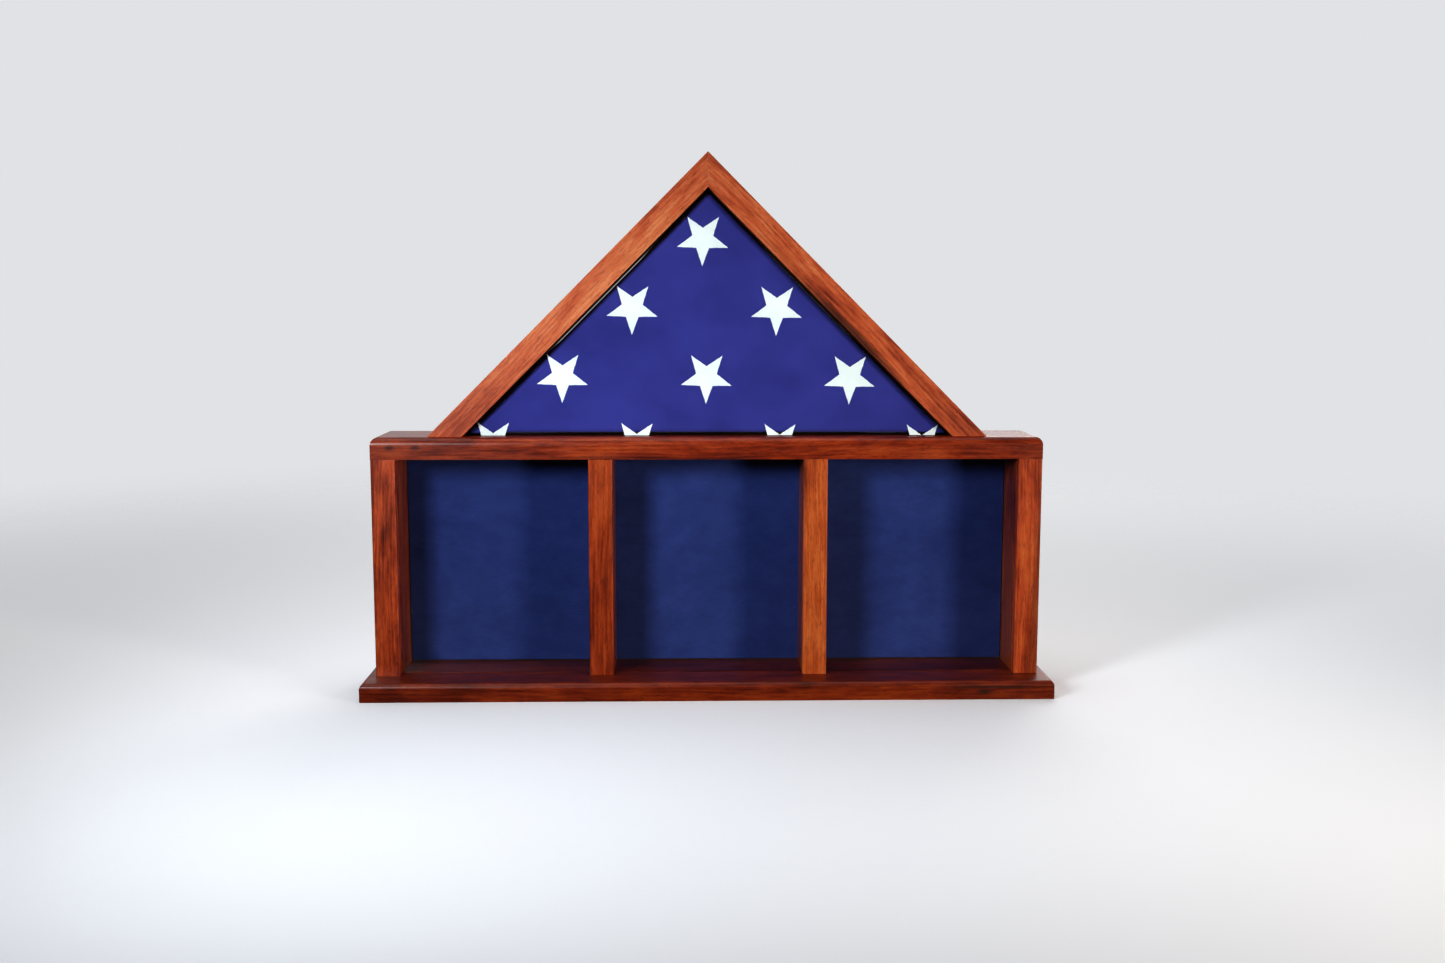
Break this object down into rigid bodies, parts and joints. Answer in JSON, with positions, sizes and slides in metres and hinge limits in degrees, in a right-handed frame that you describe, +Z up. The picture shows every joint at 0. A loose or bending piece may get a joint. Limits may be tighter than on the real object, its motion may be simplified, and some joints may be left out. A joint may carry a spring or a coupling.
{
  "type": "folded flag display case",
  "caption": "Triangular glazed case for a folded flag on top of a glazed shadow box with felt-backed compartments and a hinged rear door.",
  "frame": {"origin": "centre of the underside of the base board", "axes": "+X along the length, to the right of someone facing the glazed front; -Y out of the glazed front; +Z up"},
  "size_m": [0.655, 0.116, 0.5115],
  "materials": {
    "case_wood": "satin gloss red-brown hardwood",
    "post_wood": "satin gloss red-brown hardwood",
    "divider_wood": "satin gloss orange-brown hardwood",
    "rail_wood": "satin gloss red-brown hardwood",
    "dowel_wood": "bare beech",
    "plywood": "clear satin",
    "hardboard": "bare",
    "felt": "matt short nap",
    "flag_cloth": "matt woven cotton with white stars",
    "glass": "clear float",
    "brass": "polished",
    "steel": "zinc plated",
    "nickel": "nickel plated"
  },
  "bodies": {
    "case": {"base_board": "case_wood", "left_side": "post_wood", "right_side": "post_wood", "left_divider": "divider_wood", "right_divider": "divider_wood", "top_board": "case_wood", "left_glass": "glass", "centre_glass": "glass", "right_glass": "glass", "left_case_leaf": "brass", "right_case_leaf": "brass", "hinge_pins": "brass", "case_leaf_screws": "brass", "door_magnets": "nickel", "post_dowels": "dowel_wood", "base_screws": "steel", "left_rail": "rail_wood", "right_rail": "rail_wood", "peak_dowels": "dowel_wood", "rail_screws": "steel", "flag_glass": "glass", "folded_flag": "flag_cloth", "corner_blocks": "rail_wood", "flag_magnets": "nickel"},
    "door": {"rear_door": "plywood", "pin_board": "hardboard", "felt_cover": "felt", "left_door_leaf": "brass", "right_door_leaf": "brass", "door_leaf_screws": "brass", "door_knob": "brass", "door_knob_screw": "steel", "door_strikes": "steel"},
    "flag_back": {"flag_panel": "plywood", "flag_panel_knob": "brass", "flag_knob_screw": "steel", "flag_strikes": "steel"}
  },
  "joints": [
    {"name": "rear_door_hinge", "type": "hinge", "parent": "case", "child": "door", "pos_m": [0, 0.0533, 0.2249], "axis": [1, 0, 0], "range_deg": [0, 90]},
    {"name": "flag_panel_lift", "type": "slide", "parent": "case", "child": "flag_back", "axis": [0, 1, 0], "range_m": [0, 0.09]}
  ]
}
